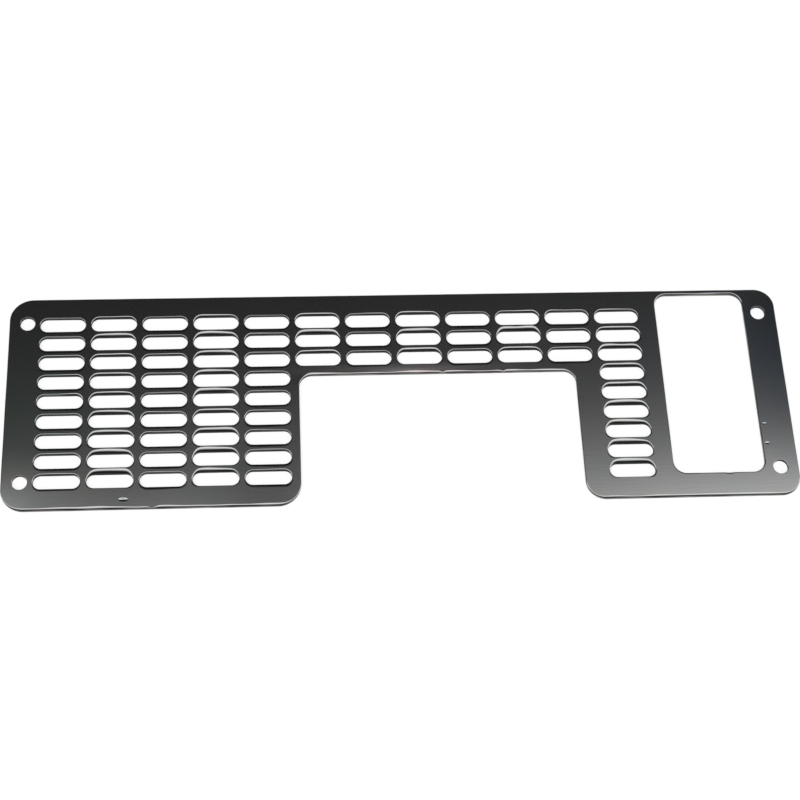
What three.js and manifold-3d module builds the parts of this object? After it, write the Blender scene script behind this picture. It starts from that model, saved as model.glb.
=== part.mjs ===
// A flat vent cover panel for a truck: one piece of polished stainless steel sheet. Its outline
// has a deep notch in the lower edge. Banks of long round-ended slots are punched through it,
// nine rows high beside the notch and three rows high above it, with one tall window near the
// right end and a plain screw hole near each corner.
//
// All sizes are in millimetres. X runs along the panel, Y up it and Z out of its front face.
// The origin is at the middle of the back face.
import * as THREE from "three";
import Module from "manifold-3d";
import { mergeVertices } from "three/addons/utils/BufferGeometryUtils.js";

// The sheet
const sheetThickness = 1.5;
const leftCornerRadius = 10;
const rightCornerRadius = 8.5;
const notchInnerRadius = 5.4;

// The slots, and the metal that is left between them
const slotLength = 19.7;
const slotWidth = 6.4;
const endWeb = 2.5;
const rowWeb = 2.9;
const leftBankColumns = 5;
const middleBankColumns = 6;
const rightBankColumns = 1;
const tallBankRows = 9;
const shortBankRows = 3;

// The metal round the banks of slots
const edgeBorder = 9.6;
const notchLeftWall = 3.85;
const notchRightWall = 10.85;
const notchTopWeb = 4.6;

// The window, and the metal round it
const windowWidth = 39.8;
const windowCornerRadius = 5.5;
const windowSideWall = 8.05;
const windowTopRail = 2.1;
const windowSill = 10.8;

// The screw holes
const holeDiameter = 6.4;
const holeToEndEdge = 4.6;
const holeToSlot = 2.25;
const holeToWindow = 3.3;
const upperHoleRise = 0.9;

// The front edges, rolled over by the punch and the polishing. Every second column of slots was
// punched after its neighbours, and there the webs are rolled over until only a thin flat is left.
const rollWidth = 0.8;
const rollDepth = 0.4;
const deepRollDepth = 0.55;
const flatBetweenDeepRolls = 0.4;

// How finely the curves are faceted, in segments
const slotEndSegments = 6;
const cornerSegments = 8;
const holeSegments = 20;

// Every cutter runs past the faces of the sheet by this much
const overrun = 2;

// Places worked out from the sizes above
const columnPitch = slotLength + endWeb;
const rowPitch = slotWidth + rowWeb;
const columns = leftBankColumns + middleBankColumns + rightBankColumns;
const banksLength = columns * columnPitch - endWeb;
const leftBorder = holeToEndEdge + holeDiameter + holeToSlot;
const rightBorder = holeToEndEdge + holeDiameter + holeToWindow;
const panelLength = leftBorder + banksLength + windowSideWall + windowWidth + rightBorder;
const panelHeight = 2 * edgeBorder + tallBankRows * rowPitch - rowWeb;
const right = panelLength / 2;
const left = -right;
const top = panelHeight / 2;
const bottom = -top;

const slotCentreX = (column) => left + leftBorder + slotLength / 2 + column * columnPitch;
const slotCentreY = (row) => top - edgeBorder - slotWidth / 2 - row * rowPitch;

const lastLeftColumn = leftBankColumns - 1;
const firstRightColumn = leftBankColumns + middleBankColumns;
const notchLeft = slotCentreX(lastLeftColumn) + slotLength / 2 + notchLeftWall;
const notchRight = slotCentreX(firstRightColumn) - slotLength / 2 - notchRightWall;
const notchTop = slotCentreY(shortBankRows - 1) - slotWidth / 2 - notchTopWeb;
const windowRight = right - rightBorder;
const windowLeft = windowRight - windowWidth;

const deepRollWidth = (rowWeb - flatBetweenDeepRolls) / 2;

const wasm = await Module();
wasm.setup();

// An ellipse arc is cut into twice as many straight lines as its curve segments
const curveSegments = (segments) => Math.max(1, Math.round(segments / 2));

// A round corner between two square sides, drawn from one angle to the other in quarter turns
function corner(path, x, y, radius, fromQuarter, clockwise) {
  const quarter = Math.PI / 2;
  const to = fromQuarter + (clockwise ? -1 : 1);
  path.absarc(x, y, radius, fromQuarter * quarter, to * quarter, clockwise);
}

function panelOutline() {
  const round = leftCornerRadius;
  const tight = rightCornerRadius;
  const inner = notchInnerRadius;
  const outline = new THREE.Shape();
  corner(outline, left + round, bottom + round, round, 2, false);
  corner(outline, notchLeft - round, bottom + round, round, 3, false);
  corner(outline, notchLeft + inner, notchTop - inner, inner, 2, true);
  corner(outline, notchRight - inner, notchTop - inner, inner, 1, true);
  corner(outline, notchRight + tight, bottom + tight, tight, 2, false);
  corner(outline, right - tight, bottom + tight, tight, 3, false);
  corner(outline, right - tight, top - tight, tight, 0, false);
  corner(outline, left + round, top - round, round, 1, false);
  outline.closePath();
  return outline;
}

function roundedRectangle(x0, x1, y0, y1, radius) {
  const shape = new THREE.Shape();
  corner(shape, x0 + radius, y0 + radius, radius, 2, false);
  corner(shape, x1 - radius, y0 + radius, radius, 3, false);
  corner(shape, x1 - radius, y1 - radius, radius, 0, false);
  corner(shape, x0 + radius, y1 - radius, radius, 1, false);
  shape.closePath();
  return shape;
}

function slotShape(x, y) {
  const radius = slotWidth / 2;
  const reach = slotLength / 2 - radius;
  const quarter = Math.PI / 2;
  const shape = new THREE.Shape();
  shape.absarc(x + reach, y, radius, -quarter, quarter, false);
  shape.absarc(x - reach, y, radius, quarter, 3 * quarter, false);
  shape.closePath();
  return shape;
}

function circle(x, y, diameter) {
  const shape = new THREE.Shape();
  shape.absarc(x, y, diameter / 2, 0, 2 * Math.PI, false);
  return shape;
}

function toSolid(geometry) {
  const bare = geometry.clone();
  bare.deleteAttribute("normal");
  bare.deleteAttribute("uv");
  const merged = mergeVertices(bare);
  const vertProperties = merged.attributes.position.array;
  const triVerts = new Uint32Array(merged.index.array);
  return new wasm.Manifold(new wasm.Mesh({ numProp: 3, vertProperties, triVerts }));
}

function toGeometry(solid) {
  const mesh = solid.getMesh();
  const geometry = new THREE.BufferGeometry();
  geometry.setAttribute("position", new THREE.BufferAttribute(mesh.vertProperties, 3));
  geometry.setIndex(new THREE.BufferAttribute(mesh.triVerts, 1));
  geometry.computeVertexNormals();
  return geometry;
}

// The blank: the outline with its front edge rolled over. It is drawn too deep, and the floor
// below the back face is then cut off square.
function blank() {
  const geometry = new THREE.ExtrudeGeometry(panelOutline(), {
    depth: sheetThickness + overrun,
    curveSegments: curveSegments(cornerSegments),
    bevelThickness: rollDepth,
    bevelSize: rollWidth,
    bevelOffset: -rollWidth,
    bevelSegments: 1,
  });
  geometry.translate(0, 0, -overrun - rollDepth);
  const floorDepth = 2 * overrun + 2 * rollDepth;
  const floor = new THREE.BoxGeometry(2 * panelLength, 2 * panelHeight, floorDepth);
  floor.translate(0, 0, -floorDepth / 2);
  return toSolid(geometry).subtract(toSolid(floor));
}

// A punch: the shape straight through the sheet, flared where the front edge rolls into it
function punch(shape, segments, width, depth) {
  const straight = new THREE.ExtrudeGeometry(shape, {
    depth: sheetThickness + 2 * overrun,
    curveSegments: curveSegments(segments),
    bevelEnabled: false,
  });
  straight.translate(0, 0, -overrun);
  const flare = new THREE.ExtrudeGeometry(shape, {
    depth: overrun,
    curveSegments: curveSegments(segments),
    bevelThickness: depth,
    bevelSize: width,
    bevelSegments: 1,
  });
  flare.translate(0, 0, sheetThickness);
  return toSolid(straight).add(toSolid(flare));
}

function slotPunches() {
  const punches = [];
  for (let column = 0; column < columns; column += 1) {
    const overNotch = column > lastLeftColumn && column < firstRightColumn;
    const rows = overNotch ? shortBankRows : tallBankRows;
    const deep = column % 2 === 1;
    const width = deep ? deepRollWidth : Math.min(rollWidth, deepRollWidth);
    const depth = deep ? deepRollDepth : rollDepth;
    for (let row = 0; row < rows; row += 1) {
      const shape = slotShape(slotCentreX(column), slotCentreY(row));
      punches.push(punch(shape, slotEndSegments, width, depth));
    }
  }
  return punches;
}

function windowPunch() {
  const shape = roundedRectangle(
    windowLeft,
    windowRight,
    bottom + windowSill,
    top - windowTopRail,
    windowCornerRadius,
  );
  return punch(shape, cornerSegments, rollWidth, rollDepth);
}

// The lower holes are in line with the last row of slots, the upper ones a little above the first
function holePunches() {
  const inset = holeToEndEdge + holeDiameter / 2;
  const heights = [slotCentreY(0) + upperHoleRise, slotCentreY(tallBankRows - 1)];
  const punches = [];
  for (const x of [left + inset, right - inset]) {
    for (const y of heights) {
      punches.push(punch(circle(x, y, holeDiameter), holeSegments, rollWidth / 2, rollDepth / 2));
    }
  }
  return punches;
}

function slottedPanel() {
  let solid = blank().subtract(windowPunch());
  for (const cutter of [...slotPunches(), ...holePunches()]) {
    solid = solid.subtract(cutter);
  }
  const steel = new THREE.MeshStandardMaterial({
    color: new THREE.Color(0.56, 0.57, 0.58),
    roughness: 0.3,
    metalness: 1,
  });
  const mesh = new THREE.Mesh(toGeometry(solid), steel);
  mesh.name = "slotted_panel";
  return mesh;
}

const ventCover = new THREE.Group();
ventCover.add(slottedPanel());

export default ventCover;
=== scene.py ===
import math

import bmesh
import bpy
from mathutils import Matrix, Quaternion, Vector, noise


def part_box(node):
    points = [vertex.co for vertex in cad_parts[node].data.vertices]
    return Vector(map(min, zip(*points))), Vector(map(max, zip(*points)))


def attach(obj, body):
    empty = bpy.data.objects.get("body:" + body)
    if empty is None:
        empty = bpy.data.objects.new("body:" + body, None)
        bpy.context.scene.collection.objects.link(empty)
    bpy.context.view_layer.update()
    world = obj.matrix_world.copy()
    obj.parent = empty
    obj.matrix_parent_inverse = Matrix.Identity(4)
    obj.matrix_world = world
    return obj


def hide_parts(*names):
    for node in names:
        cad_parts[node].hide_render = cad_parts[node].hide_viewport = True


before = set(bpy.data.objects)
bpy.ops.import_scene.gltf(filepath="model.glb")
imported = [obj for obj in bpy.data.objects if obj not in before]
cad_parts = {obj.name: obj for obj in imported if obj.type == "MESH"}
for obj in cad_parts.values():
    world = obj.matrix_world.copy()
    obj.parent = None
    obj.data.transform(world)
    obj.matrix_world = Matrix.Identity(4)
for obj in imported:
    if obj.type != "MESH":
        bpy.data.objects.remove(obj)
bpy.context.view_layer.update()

# The sheet
# One blank of 16 gauge stainless steel, about a third of a metre long. It is cut to its outline
# with a notch in the lower edge, and punched with banks of slots, a window and four screw holes.
# All the sizes of the sheet are in millimetres, and X, Y and Z are the frame's.
MM = 0.001
sheet_low, sheet_high = (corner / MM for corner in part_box("slotted_panel"))
thickness = sheet_high.z

slot_length = 19.7
slot_width = 6.4
column_pitch = 22.2
row_pitch = 9.3
left_margin = 13.25
top_margin = 9.6
left_columns = 5
notch_columns = 6
columns = 12
tall_rows = 9
short_rows = 3

QUARTER = math.pi / 2
corner_chord = 0.8
least_corner_steps = 6


def slot_x(column):
    return sheet_low.x + left_margin + slot_length / 2 + column * column_pitch


def slot_y(row):
    return sheet_high.y - top_margin - slot_width / 2 - row * row_pitch


def draw_loop(bm, corners, side_step, metal_outside):
    """Draws a closed loop on the back face. Each corner is a point spun about the corner's centre, and
    straight sides join them. Returns the direction into the metal at each of the loop's points."""
    into = {}
    chains = []
    for x, y, radius, first, turn in corners:
        centre = Vector((x, y, 0))
        start = bm.verts.new(centre + radius * Vector((math.cos(first), math.sin(first), 0)))
        steps = max(least_corner_steps, round(abs(turn) * radius / corner_chord))
        bmesh.ops.spin(bm, geom=[start], cent=centre, axis=(0, 0, 1), angle=turn, steps=steps)
        chain = [start, *list(bm.verts)[-steps:]]
        away = 1 if (turn > 0) == metal_outside else -1
        into.update({point: away * (point.co - centre).normalized() for point in chain})
        chains.append(chain)
    for chain, after in zip(chains, chains[1:] + chains[:1]):
        end = chain[-1]
        gap = after[0].co - end.co
        steps = round(gap.length / side_step)
        if steps:
            one_step = gap / (steps + 1)
            bmesh.ops.spin(bm, geom=[end], axis=(0, 0, 1), dvec=one_step, angle=0, steps=steps)
            side = list(bm.verts)[-steps:]
            into.update({point: into[end].copy() for point in side})
            end = side[-1]
        bm.edges.new((end, after[0]))
    return into


# The front edges are rolled over by the punch and by the polishing, from a steep lip at the wall to
# nothing on the face. Each edge is worn a little more or less along its length, and in a few places
# the outline and the window were knocked. A knock's gains are added to the roll's width and depth.
wear_length = 11.0
width_seed = 3.7
depth_seed = 8.2
least_width = 0.1
least_depth = 0.04
knocks = [
    {"x": -106.3, "y": -50.0, "reach": 1.6, "width": -1.0, "depth": -0.3},
    {"x": 18.6, "y": 10.8, "reach": 0.9, "width": -0.7, "depth": -0.25},
    {"x": 45.1, "y": 10.8, "reach": 0.9, "width": -0.7, "depth": -0.25},
    {"x": 139.4, "y": -39.2, "reach": 1.6, "width": 0.5, "depth": 0.35},
]


def knocked(place, gain):
    """By how much the knocks change a roll at a place on its edge."""
    total = 0
    for knock in knocks:
        away = (place - Vector((knock["x"], knock["y"], 0))).length / knock["reach"]
        total += knock[gain] * math.exp(-away * away)
    return total


# The sheet's finishes, in the order of its materials
SHEARED, BUFFED, POLISHED, MILL = 0, 1, 2, 3


def worn(place, seed):
    """Noise along an edge, between about minus one and one."""
    return noise.noise(Vector((place.x, place.y, seed * wear_length)) / wear_length)


def roll_edge(into, wear, roll, wall):
    """What an edge's points need to be formed: each one's place, its direction into the metal, the
    width and depth of the roll there, and the wall's finish. The roll function gives width and depth
    for an evenly worn edge, and the widest that the roll may be, so that it doesn't meet the next
    one. Wear is the share by which width and depth change along the edge."""
    edge = {}
    for point, way in into.items():
        place = point.co.copy()
        width, depth, widest = roll(place, way)
        width *= 1 + wear * worn(place, width_seed)
        depth *= 1 + wear * worn(place, depth_seed)
        width = max(least_width, min(width + knocked(place, "width"), widest))
        depth = max(least_depth, depth + knocked(place, "depth"))
        edge[point] = place, way, width, depth, wall
    return edge


# The outline, with its rolled edge. The straight edges that face the camera are rolled over further.
left_radius = 10
right_radius = 8.5
notch_radius = 5.4
notch_left_wall = 3.85
notch_right_wall = 10.85
notch_top_web = 4.6
edge_step = 0.9
edge_roll_width = 0.35
edge_roll_depth = 0.17
low_roll_width = 1.05
low_roll_depth = 0.36
low_roll_fade = 8
edge_wear = 0.5
edge_widest = 1.1
low_widest = 2.2


def outer_roll(place, way):
    low = max(0, way.y) ** low_roll_fade
    width = edge_roll_width + (low_roll_width - edge_roll_width) * low
    depth = edge_roll_depth + (low_roll_depth - edge_roll_depth) * low
    return width, depth, edge_widest + (low_widest - edge_widest) * low


sheet = bmesh.new()
left, right, bottom, top = sheet_low.x, sheet_high.x, sheet_low.y, sheet_high.y
notch_left = slot_x(left_columns - 1) + slot_length / 2 + notch_left_wall
notch_right = slot_x(left_columns + notch_columns) - slot_length / 2 - notch_right_wall
notch_top = slot_y(short_rows - 1) - slot_width / 2 - notch_top_web
wide, tight, inner = left_radius, right_radius, notch_radius
outline = draw_loop(sheet, [
    (left + wide, bottom + wide, wide, 2 * QUARTER, QUARTER),
    (notch_left - wide, bottom + wide, wide, 3 * QUARTER, QUARTER),
    (notch_left + inner, notch_top - inner, inner, 2 * QUARTER, -QUARTER),
    (notch_right - inner, notch_top - inner, inner, QUARTER, -QUARTER),
    (notch_right + tight, bottom + tight, tight, 2 * QUARTER, QUARTER),
    (right - tight, bottom + tight, tight, 3 * QUARTER, QUARTER),
    (right - tight, top - tight, tight, 0, QUARTER),
    (left + wide, top - wide, wide, QUARTER, QUARTER),
], edge_step, metal_outside=False)
points = roll_edge(outline, edge_wear, outer_roll, BUFFED)

# The slots. A web between two slots is rounded over on both sides. Those of every second column were
# pushed over towards the front by their neighbours' punching, so there the face runs down in a long
# slope to the slot below it, though the wide border above the top row held. No two came out alike.
slot_step = 1.6
far_roll_width = 0.6
far_roll_depth = 0.42
near_roll_width = 1.25
near_roll_depth = 0.2
end_roll_width = 0.35
end_roll_depth = 0.24
arc_fade = 2.5
pushed_roll_width = 1.95
pushed_roll_depth = 0.88
pushed_back_width = 0.22
pushed_back_depth = 0.12
slot_wear = 0.35
slot_luck = 0.6
luck_spacing = 1.37
push_fade = 4
border_hold = 0.7
pushed_widest = 2.4
plain_widest = 1.4


def slot_shape(x, y):
    """The two round ends of a slot."""
    radius = slot_width / 2
    reach = slot_length / 2 - radius
    half_turn = 2 * QUARTER
    return [(x + reach, y, radius, -QUARTER, half_turn), (x - reach, y, radius, QUARTER, half_turn)]


def slot_roll(column, row, pushed):
    """The roll round one slot. Far is the side away from the camera, and near the side towards it."""
    middle = slot_x(column)
    luck = 1 + slot_luck * noise.noise(Vector((column, row, width_seed)) * luck_spacing)

    def roll(place, way):
        along = 1 - min(1, abs(place.x - middle) / (slot_length / 2)) ** push_fade
        far, near = max(0, way.y) ** arc_fade, max(0, -way.y)
        over = along if pushed else 0
        far_over = over * (1 - border_hold) if row == 0 else over
        far_width = far_roll_width + (pushed_roll_width - far_roll_width) * far_over
        far_depth = far_roll_depth + (pushed_roll_depth - far_roll_depth) * far_over
        near_width = near_roll_width + (pushed_back_width - near_roll_width) * over
        near_depth = near_roll_depth + (pushed_back_depth - near_roll_depth) * over
        width = end_roll_width * (1 - far - near) + far_width * far * luck + near_width * near
        depth = end_roll_depth * (1 - far - near) + far_depth * far * luck + near_depth * near
        return width, depth, pushed_widest if pushed else plain_widest
    return roll


for column in range(columns):
    over_notch = left_columns <= column < left_columns + notch_columns
    for row in range(short_rows if over_notch else tall_rows):
        shape = slot_shape(slot_x(column), slot_y(row))
        slot = draw_loop(sheet, shape, slot_step, metal_outside=True)
        slot_form = slot_roll(column, row, pushed=column % 2 == 1)
        points.update(roll_edge(slot, slot_wear, slot_form, SHEARED))

# The window and the screw holes. The window's top rail is narrow, and was pushed over further.
window_width = 39.8
window_radius = 5.5
window_right_margin = 14.3
window_top_rail = 2.1
window_sill = 10.8
hole_diameter = 6.4
hole_inset = 7.8
hole_rise = 0.9
hole_points = 40
window_roll_width = 0.55
window_roll_depth = 0.22
rail_roll_width = 0.8
rail_roll_depth = 0.5
rail_roll_fade = 3
window_widest = 0.9
rail_widest = 1.2
hole_roll_width = 0.2
hole_roll_depth = 0.12

window_right = right - window_right_margin
window_left = window_right - window_width
window_top = top - window_top_rail
window_bottom = bottom + window_sill
radius = window_radius
window = draw_loop(sheet, [
    (window_left + radius, window_bottom + radius, radius, 2 * QUARTER, QUARTER),
    (window_right - radius, window_bottom + radius, radius, 3 * QUARTER, QUARTER),
    (window_right - radius, window_top - radius, radius, 0, QUARTER),
    (window_left + radius, window_top - radius, radius, QUARTER, QUARTER),
], edge_step, metal_outside=True)


def window_roll(place, way):
    rail = max(0, way.y) ** rail_roll_fade
    width = window_roll_width + (rail_roll_width - window_roll_width) * rail
    depth = window_roll_depth + (rail_roll_depth - window_roll_depth) * rail
    return width, depth, window_widest + (rail_widest - window_widest) * rail


def hole_roll(place, way):
    return hole_roll_width, hole_roll_depth, window_widest


points.update(roll_edge(window, edge_wear, window_roll, BUFFED))

hole_radius = hole_diameter / 2
for x in (left + hole_inset, right - hole_inset):
    for y in (slot_y(0) + hole_rise, slot_y(tall_rows - 1)):
        centre = Vector((x, y, 0))
        rim = bmesh.ops.create_circle(sheet, segments=hole_points, radius=hole_radius,
                                      matrix=Matrix.Translation(centre))
        hole = {point: (point.co - centre).normalized() for point in rim["verts"]}
        points.update(roll_edge(hole, slot_wear, hole_roll, SHEARED))

# The loops are raised ring by ring: the back's broken edge, the wall, the roll, and a narrow land that
# lies flat with the face. Each ring is an offset into the metal and a height, with the share that it
# takes of the roll's width and depth at each point, and its finish, or None for the finish of the wall.
roll_steps = 8
lip_steps = 3
roll_land = 0.03
back_break = 0.12

rings = [(0, 0, back_break, 0, MILL), (0, 0, thickness, 1, None)]
for step in range(1, roll_steps + 1):
    turn = QUARTER * step / roll_steps
    finish = None if step <= lip_steps else POLISHED
    rings.append((0, 1 - math.cos(turn), thickness, 1 - math.sin(turn), finish))
rings.append((roll_land, 1, thickness, 0, POLISHED))


def is_kind(kind, parts):
    return [part for part in parts if isinstance(part, kind)]


for point, (place, way, *_) in points.items():
    point.co = place + way * back_break
back_edges = front_edges = list(sheet.edges)
for offset, widths, height, depths, finish in rings:
    made = bmesh.ops.extrude_edge_only(sheet, edges=front_edges)["geom"]
    front_edges = is_kind(bmesh.types.BMEdge, made)
    raised = {}
    for point in is_kind(bmesh.types.BMVert, made):
        neighbours = [edge.other_vert(point) for edge in point.link_edges]
        below = next(neighbour for neighbour in neighbours if neighbour in points)
        raised[point] = points[below]
        place, way, width, depth, *_ = raised[point]
        point.co = place + way * (offset + widths * width)
        point.co.z = height - depths * depth
    for face in is_kind(bmesh.types.BMFace, made):
        wall = next(raised[point][-1] for point in face.verts if point in raised)
        face.material_index = wall if finish is None else finish
    points = raised

# Small dents, where the sheet was struck by something hard: one in the lower border and two beside
# the window. Each starts as a circle one millimetre across, stretched to the dent's length and width.
dents = [
    {"x": -118.5, "y": -45.9, "length": 4.6, "width": 1.9, "depth": 0.11},
    {"x": 157.5, "y": -16.6, "length": 2.1, "width": 1.1, "depth": 0.065},
    {"x": 157.5, "y": -25.9, "length": 2.1, "width": 1.4, "depth": 0.08},
]
dent_points = 28
dent_start_radius = 0.5
dent_steps = 5
dent_land_share = 0.03
dent_floor_share = 0.15

for dent in dents:
    centre = Vector((dent["x"], dent["y"], thickness))
    stretch = Matrix.Translation(centre) @ Matrix.Diagonal((dent["length"], dent["width"], 1, 1))
    rim = bmesh.ops.create_circle(sheet, segments=dent_points, radius=dent_start_radius,
                                  matrix=stretch)["verts"]
    dent_edges = list({edge for point in rim for edge in point.link_edges})
    front_edges = front_edges + dent_edges
    reached = 1
    for step in range(dent_steps + 1):
        made = bmesh.ops.extrude_edge_only(sheet, edges=dent_edges)["geom"]
        dent_edges = is_kind(bmesh.types.BMEdge, made)
        for face in is_kind(bmesh.types.BMFace, made):
            face.material_index = POLISHED
        ring = is_kind(bmesh.types.BMVert, made)
        size = (1 - dent_land_share) * (1 - (1 - dent_floor_share) * step / dent_steps)
        bmesh.ops.scale(sheet, vec=(size / reached, size / reached, 1),
                        space=Matrix.Translation(-centre), verts=ring)
        fallen = (1 - math.cos(math.pi * step / dent_steps)) / 2
        for point in ring:
            point.co.z = thickness - dent["depth"] * fallen
        reached = size
    floor = bmesh.ops.contextual_create(sheet, geom=dent_edges)["faces"]
    floor[0].material_index = POLISHED

# The back face and the front face close the sheet between all its loops
crease_angle = math.radians(40)

for edges, finish in ((back_edges, MILL), (front_edges, POLISHED)):
    filled = bmesh.ops.triangle_fill(sheet, use_beauty=True, edges=edges, normal=(0, 0, 1))
    for face in is_kind(bmesh.types.BMFace, filled["geom"]):
        face.material_index = finish
bmesh.ops.recalc_face_normals(sheet, faces=sheet.faces)
bmesh.ops.scale(sheet, vec=(MM, MM, MM), verts=sheet.verts)

panel_mesh = bpy.data.meshes.new("polished_panel")
sheet.to_mesh(panel_mesh)
sheet.free()
panel_mesh.shade_smooth()
panel_mesh.set_sharp_from_angle(angle=crease_angle)
panel = bpy.data.objects.new("polished_panel", panel_mesh)
bpy.context.scene.collection.objects.link(panel)
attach(panel, "root")
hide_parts("slotted_panel")

# The polish
# The front is belt polished along its length and then buffed, so it mirrors the room softly, with a
# fine grain and a few longer streaks. The noise for them is drawn out along the sheet.
steel_cool = (0.545, 0.56, 0.57, 1)
steel_warm = (0.585, 0.575, 0.565, 1)
steel_roughness = 0.08
fine_length = 9.0
fine_width = 0.3
fine_detail = 2.0
fine_height = 0.0002
streak_length = 14.0
streak_width = 0.7
streak_detail = 3.0
streak_height = 0.002
streak_haze = 0.03
cloud_size = 28.0
cloud_detail = 2.0
cloud_haze = 0.02

# The sheet isn't dead flat, as the punching sprang it a little. Each dip is a place that the face falls
# to, or rises to if its depth is negative, with how far it reaches along the sheet and up it.
dips = [
    {"x": 3, "y": 10.8, "along": 75, "up": 6.5, "depth": 0.135},
    {"x": -175, "y": -60, "along": 60, "up": 40, "depth": 0.55},
    {"x": -55, "y": -70, "along": 45, "up": 60, "depth": -0.5},
    {"x": 130, "y": -75, "along": 100, "up": 90, "depth": 0.15},
    {"x": 175, "y": 60, "along": 45, "up": 100, "depth": 1.3},
]

# The face has a faint tint in three places, green, blue and pink, fading out round each of them
tints = [
    {"x": -175, "y": 0, "along": 90, "up": 70, "colour": (0.5, 0.6, 0.53, 1)},
    {"x": 180, "y": 20, "along": 120, "up": 70, "colour": (0.47, 0.56, 0.68, 1)},
    {"x": 10, "y": 10.8, "along": 90, "up": 14, "colour": (0.62, 0.55, 0.56, 1)},
]

noise_low = 0.3
noise_high = 0.7


def feed(tree, socket, value):
    """Gives an input a value, or a link if that is what it gets."""
    if isinstance(value, bpy.types.NodeSocket):
        tree.links.new(value, socket)
    else:
        socket.default_value = value


def add(tree, kind, **settings):
    """Adds a node. A setting is one of the node's own properties, or what the input of that name
    is fed with."""
    node = tree.nodes.new(kind)
    for name, value in settings.items():
        inputs = [s for s in node.inputs if s.enabled and s.name.replace(" ", "_").lower() == name]
        if inputs:
            feed(tree, inputs[0], value)
        else:
            setattr(node, name, value)
    return node


def calculate(tree, operation, *values):
    node = add(tree, "ShaderNodeMath", operation=operation)
    for socket, value in zip(node.inputs, values):
        feed(tree, socket, value)
    return node.outputs[0]


def blend(tree, kind, share, first, second):
    """Goes from the first colour or number to the second as the share goes from nothing to one."""
    mix = add(tree, "ShaderNodeMix", data_type=kind, factor=share, a=first, b=second)
    return next(output for output in mix.outputs if output.enabled)


def emboss(tree, height, depth=1, strength=1.0):
    """A bump. Depth is how many millimetres a height of one stands for."""
    return add(tree, "ShaderNodeBump", strength=strength, distance=depth * MM, height=height)


def grain(tree, place, length, width, detail):
    """Noise drawn out along the sheet: length and width are the size of one streak."""
    fineness = (1 / (length * MM), 1 / (width * MM), 1 / (width * MM))
    drawn = add(tree, "ShaderNodeMapping", scale=fineness, vector=place).outputs[0]
    return add(tree, "ShaderNodeTexNoise", vector=drawn, scale=1.0, detail=detail).outputs[0]


def bowl(tree, place, spot):
    """One at the middle of a spot on the sheet, and falling off smoothly to nothing at its rim."""
    shift = (-spot["x"] / spot["along"], -spot["y"] / spot["up"], 0)
    reach = (1 / (spot["along"] * MM), 1 / (spot["up"] * MM), 0)
    moved = add(tree, "ShaderNodeMapping", location=shift, scale=reach, vector=place).outputs[0]
    fall = add(tree, "ShaderNodeTexGradient", gradient_type="QUADRATIC_SPHERE", vector=moved)
    return fall.outputs[1]


def between(tree, value, low, high):
    """Brings noise, most of which lies between noise_low and noise_high, to a range."""
    return add(tree, "ShaderNodeMapRange", value=value, from_min=noise_low, from_max=noise_high,
               to_min=low, to_max=high).outputs[0]


def start_finish(name):
    """A new finish, its nodes, its shader, and the place on the piece that its patterns read."""
    finish = bpy.data.materials.new(name)
    finish.use_nodes = True
    tree = finish.node_tree
    shader = next(node for node in tree.nodes if node.type == "BSDF_PRINCIPLED")
    return finish, tree, shader, add(tree, "ShaderNodeTexCoord").outputs["Object"]


polished, tree, shader, place = start_finish("polished_steel")
fine = grain(tree, place, fine_length, fine_width, fine_detail)
streaks = grain(tree, place, streak_length, streak_width, streak_detail)
clouds = grain(tree, place, cloud_size, cloud_size, cloud_detail)
colour = blend(tree, "RGBA", between(tree, clouds, 0, 1), steel_cool, steel_warm)
for tint in tints:
    colour = blend(tree, "RGBA", bowl(tree, place, tint), colour, tint["colour"])
streaked = between(tree, streaks, 1 - streak_haze, 1 + streak_haze)
clouded = between(tree, clouds, steel_roughness * (1 - cloud_haze), steel_roughness * (1 + cloud_haze))
height = 0
for dip in dips:
    height = calculate(tree, "MULTIPLY_ADD", bowl(tree, place, dip), -dip["depth"], height)
dip_bump = emboss(tree, height)
fine_bump = emboss(tree, fine, fine_height)
streak_bump = emboss(tree, streaks, streak_height)
tree.links.new(dip_bump.outputs[0], fine_bump.inputs["Normal"])
tree.links.new(fine_bump.outputs[0], streak_bump.inputs["Normal"])
tree.links.new(streak_bump.outputs[0], shader.inputs["Normal"])
tree.links.new(colour, shader.inputs["Base Color"])
tree.links.new(calculate(tree, "MULTIPLY", streaked, clouded), shader.inputs["Roughness"])
shader.inputs["Metallic"].default_value = 1.0

# The walls of the slots and the screw holes, which the punch left torn and matt
torn_size = 0.25
torn_detail = 3.0
# Painted shade: the walls' near-black colour, a little paler in places with the tearing
wall_shade_dark = (0.015, 0.014, 0.0135, 1)
wall_shade_pale = (0.04, 0.037, 0.036, 1)
torn_height = 0.03
torn_strength = 0.6
torn_metallic = 0.1
torn_specular = 0.1
torn_roughness = 0.6

sheared_painted_shade, tree, shader, place = start_finish("sheared_steel")
torn = grain(tree, place, torn_size, torn_size, torn_detail)
# The walls' colour is painted shade, near black, paler in places with the tearing
colour = blend(tree, "RGBA", between(tree, torn, 0, 1), wall_shade_dark, wall_shade_pale)
torn_bump = emboss(tree, torn, torn_height, torn_strength)
tree.links.new(torn_bump.outputs[0], shader.inputs["Normal"])
tree.links.new(colour, shader.inputs["Base Color"])
shader.inputs["Metallic"].default_value = torn_metallic
shader.inputs["Specular IOR Level"].default_value = torn_specular
shader.inputs["Roughness"].default_value = torn_roughness

# The walls of the outline and the window, which were buffed
patch_size = 16.0
patch_detail = 2.0
# Painted shade and painted reflection: long patches from near black to a paler grey, where a stretch
# mirrors the table brightly
shade_patch_dark = (0.04, 0.038, 0.037, 1)
reflection_patch_bright = (0.3, 0.285, 0.28, 1)
scuff_length = 0.8
scuff_width = 0.2
scuff_detail = 2.0
scuff_height = 0.01
scuff_strength = 0.5
buffed_smooth = 0.35
buffed_rough = 0.5

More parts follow.
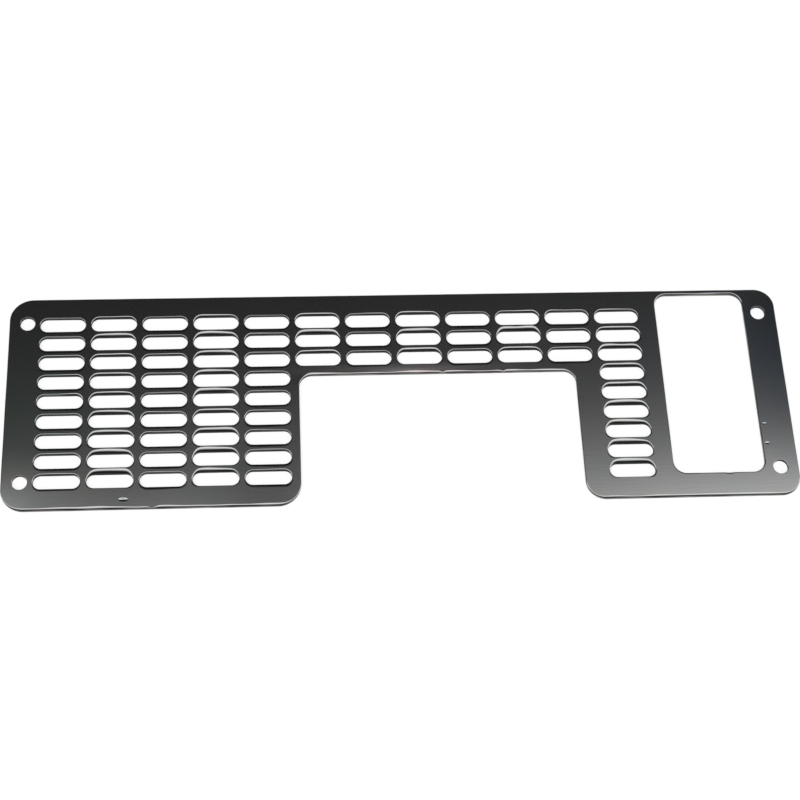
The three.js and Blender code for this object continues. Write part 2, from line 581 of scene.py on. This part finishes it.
buffed_painted_light, tree, shader, place = start_finish("buffed_edge")
shade_and_reflection_patches = grain(tree, place, patch_size, patch_size, patch_detail)
scuffs = grain(tree, place, scuff_length, scuff_width, scuff_detail)
# The colour is painted shade and painted reflection, in long patches along the edge
colour = blend(tree, "RGBA", between(tree, shade_and_reflection_patches, 0, 1), shade_patch_dark, reflection_patch_bright)
scuff_bump = emboss(tree, scuffs, scuff_height, scuff_strength)
tree.links.new(scuff_bump.outputs[0], shader.inputs["Normal"])
tree.links.new(colour, shader.inputs["Base Color"])
tree.links.new(between(tree, scuffs, buffed_smooth, buffed_rough), shader.inputs["Roughness"])
shader.inputs["Metallic"].default_value = 1.0

# The back, as it came from the rolling mill
mill_colour = (0.5, 0.505, 0.51, 1)
mill_length = 14.0
mill_width = 0.3
mill_detail = 3.0
mill_height = 0.004
mill_smooth = 0.36
mill_rough = 0.44

mill, tree, shader, place = start_finish("mill_steel")
rolled = grain(tree, place, mill_length, mill_width, mill_detail)
rolled_bump = emboss(tree, rolled, mill_height)
tree.links.new(rolled_bump.outputs[0], shader.inputs["Normal"])
tree.links.new(between(tree, rolled, mill_smooth, mill_rough), shader.inputs["Roughness"])
shader.inputs["Base Color"].default_value = mill_colour
shader.inputs["Metallic"].default_value = 1.0

for finish in (sheared_painted_shade, buffed_painted_light, polished, mill):
    panel_mesh.materials.append(finish)

# The table
# A plain white top that the sheet lies on, so large that its edge is never seen. It keeps the
# sheet's shadow, and shows white to the camera and in the metal.
table_radius = 9.0
table_drop = 0.0002
table_points = 96
table_paint = (0.93, 0.93, 0.93, 1)
plain_white = (1, 1, 1, 1)
shadow_share = 0.3

surface = bmesh.new()
bmesh.ops.create_circle(surface, cap_ends=True, segments=table_points, radius=table_radius,
                        matrix=Matrix.Translation((0, 0, -table_drop)))
table_mesh = bpy.data.meshes.new("table_top")
surface.to_mesh(table_mesh)
surface.free()
table = bpy.data.objects.new("table_top", table_mesh)
bpy.context.scene.collection.objects.link(table)

white = bpy.data.materials.new("table_white")
white.use_nodes = True
tree = white.node_tree
tree.nodes.clear()
matt = add(tree, "ShaderNodeBsdfDiffuse", color=table_paint)
plain = add(tree, "ShaderNodeEmission", color=plain_white, strength=1.0)
ray = add(tree, "ShaderNodeLightPath")
seen = calculate(tree, "MAXIMUM", ray.outputs["Is Camera Ray"], ray.outputs["Is Glossy Ray"])
seen = calculate(tree, "MAXIMUM", seen, ray.outputs["Is Transmission Ray"])
top_mix = add(tree, "ShaderNodeMixShader")
tree.links.new(calculate(tree, "MULTIPLY", seen, 1 - shadow_share), top_mix.inputs[0])
tree.links.new(matt.outputs[0], top_mix.inputs[1])
tree.links.new(plain.outputs[0], top_mix.inputs[2])
add(tree, "ShaderNodeOutputMaterial", surface=top_mix.outputs[0])
table_mesh.materials.append(white)

# The studio
# A wide soft light hangs over the sheet and comes down towards the camera. It fades out behind a
# straight back edge, and the polished face mirrors that fading, brightest in its lower border. Behind
# the light the room is dark, and it is pale at the horizon.
light_strength = 1.35
light_back_slope = 0.3735
light_back_turn = 0.11
light_back_softness = 0.047
light_front_slope = -0.05
light_front_softness = 0.25
room_front = 0.02
room_back = 0.006
horizon_height = 0.45
horizon_softness = 0.25
horizon_strength = 0.8

world = bpy.data.worlds.new("studio")
world.use_nodes = True
bpy.context.scene.world = world
tree = world.node_tree
background = next(n for n in tree.nodes if n.type == "BACKGROUND")
direction = add(tree, "ShaderNodeTexCoord").outputs["Generated"]


def slope(vector):
    """How far a direction lies along a vector."""
    dot = add(tree, "ShaderNodeVectorMath", operation="DOT_PRODUCT")
    feed(tree, dot.inputs[0], direction)
    feed(tree, dot.inputs[1], vector)
    return dot.outputs["Value"]


def step_down(value, middle, softness, high, low):
    """Goes smoothly from high to low as the value passes the middle."""
    return add(tree, "ShaderNodeMapRange", interpolation_type="SMOOTHSTEP", value=value,
               from_min=middle - softness, from_max=middle + softness,
               to_min=high, to_max=low).outputs[0]


def passed(value, softness):
    """Goes from nothing to one as the value passes zero, the more slowly the further off it is."""
    length = calculate(tree, "SQRT", calculate(tree, "MULTIPLY_ADD", value, value, softness ** 2))
    share = calculate(tree, "DIVIDE", value, length)
    return add(tree, "ShaderNodeMapRange", value=share, from_min=-1.0, from_max=1.0).outputs[0]


behind_light = slope((-light_back_turn, 1, -light_back_slope))
before_light = slope((0, -1, -light_front_slope))
above_horizon = slope((0, 0, 1))
overhead = step_down(before_light, 0, light_front_softness, light_strength, room_front)
sky = blend(tree, "FLOAT", passed(behind_light, light_back_softness), overhead, room_back)
low_down = step_down(above_horizon, horizon_height, horizon_softness, 1, 0)
strength = blend(tree, "FLOAT", low_down, sky, horizon_strength)
tree.links.new(strength, background.inputs["Strength"])
background.inputs["Color"].default_value = plain_white

# A soft lamp fills the table, and is kept out of the metal
fill_strength = 2.7
fill_spread = math.radians(60)
fill_tilt = math.radians(20)
fill_turn = math.radians(-10)

fill = bpy.data.objects.new("fill_lamp", bpy.data.lights.new("fill_lamp", "SUN"))
fill.data.energy = fill_strength
fill.data.angle = fill_spread
fill.rotation_euler = (fill_tilt, fill_turn, 0)
fill.visible_glossy = False
bpy.context.scene.collection.objects.link(fill)

# The camera
# It looks down on the sheet from the front, turned a little, with the picture's frame as in the
# photo. The lens is given in the picture's pixels.
aim = Vector((-0.68, -2.1, 1.5)) * MM
distance = 759.6 * MM
camera_azimuth = math.radians(-8.34)
camera_elevation = math.radians(63.99)
camera_roll = math.radians(6.45)
focal_pixels = 1755.5
picture_pixels = 800
sensor_width = 36
nearest_seen = 0.01

camera = bpy.data.objects.new("camera", bpy.data.cameras.new("camera"))
camera.data.sensor_width = sensor_width
camera.data.lens = sensor_width * focal_pixels / picture_pixels
away = Vector((
    math.sin(camera_azimuth) * math.cos(camera_elevation),
    -math.cos(camera_azimuth) * math.cos(camera_elevation),
    math.sin(camera_elevation),
))
camera.location = aim + away * distance
camera.rotation_mode = "QUATERNION"
camera.rotation_quaternion = (-away).to_track_quat("-Z", "Y") @ Quaternion((0, 0, 1), camera_roll)
camera.data.clip_start = nearest_seen
bpy.context.scene.collection.objects.link(camera)
bpy.context.scene.camera = camera
bpy.context.scene.view_settings.view_transform = "Standard"
